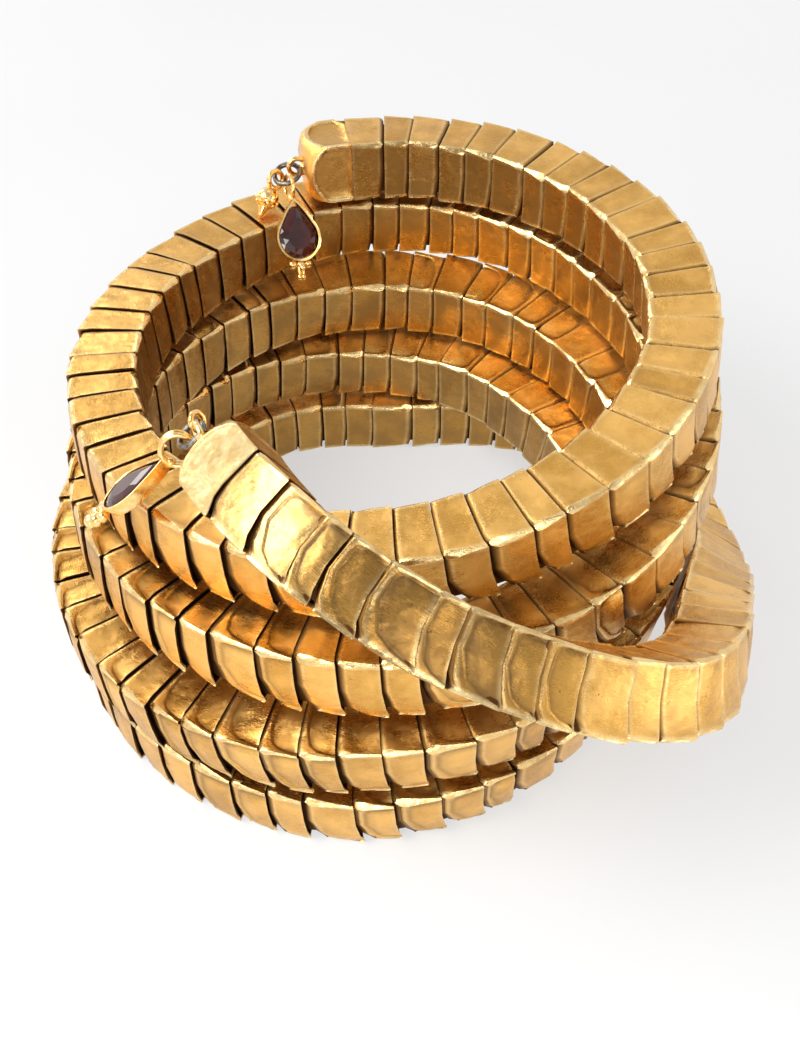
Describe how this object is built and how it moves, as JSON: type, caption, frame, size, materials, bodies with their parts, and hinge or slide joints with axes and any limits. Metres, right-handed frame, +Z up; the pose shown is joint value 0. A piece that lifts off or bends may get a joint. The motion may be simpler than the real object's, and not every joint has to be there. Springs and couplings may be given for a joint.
{
  "type": "snake bracelet",
  "caption": "Coiled snake bracelet of square sleeve links standing on its lowest turn, with a closed box end and a pear-shaped stone drop at each end.",
  "frame": {"origin": "on the floor under the middle of the bounding box of the standing coil", "axes": "+Z up along the coil's axis; +Y towards the back, where the tail end lies on the top turn; +X to the right as seen from the front"},
  "size_m": [0.0918, 0.0983, 0.0526],
  "materials": {
    "band_gold": "satin, worn",
    "bright_gold": "polished",
    "dark_ring": "dark, oxidised",
    "garnet": "polished, faceted"
  },
  "bodies": {
    "root": {"band_upper": "band_gold", "band_lower": "band_gold", "tail_cap": "band_gold", "head_cap": "band_gold", "tail_ring": "dark_ring", "head_ring": "dark_ring", "tail_drop": "bright_gold", "head_drop": "bright_gold", "head_loop": "bright_gold", "tail_bead": "bright_gold", "tail_stone": "garnet", "head_stone": "garnet"}
  },
  "joints": []
}
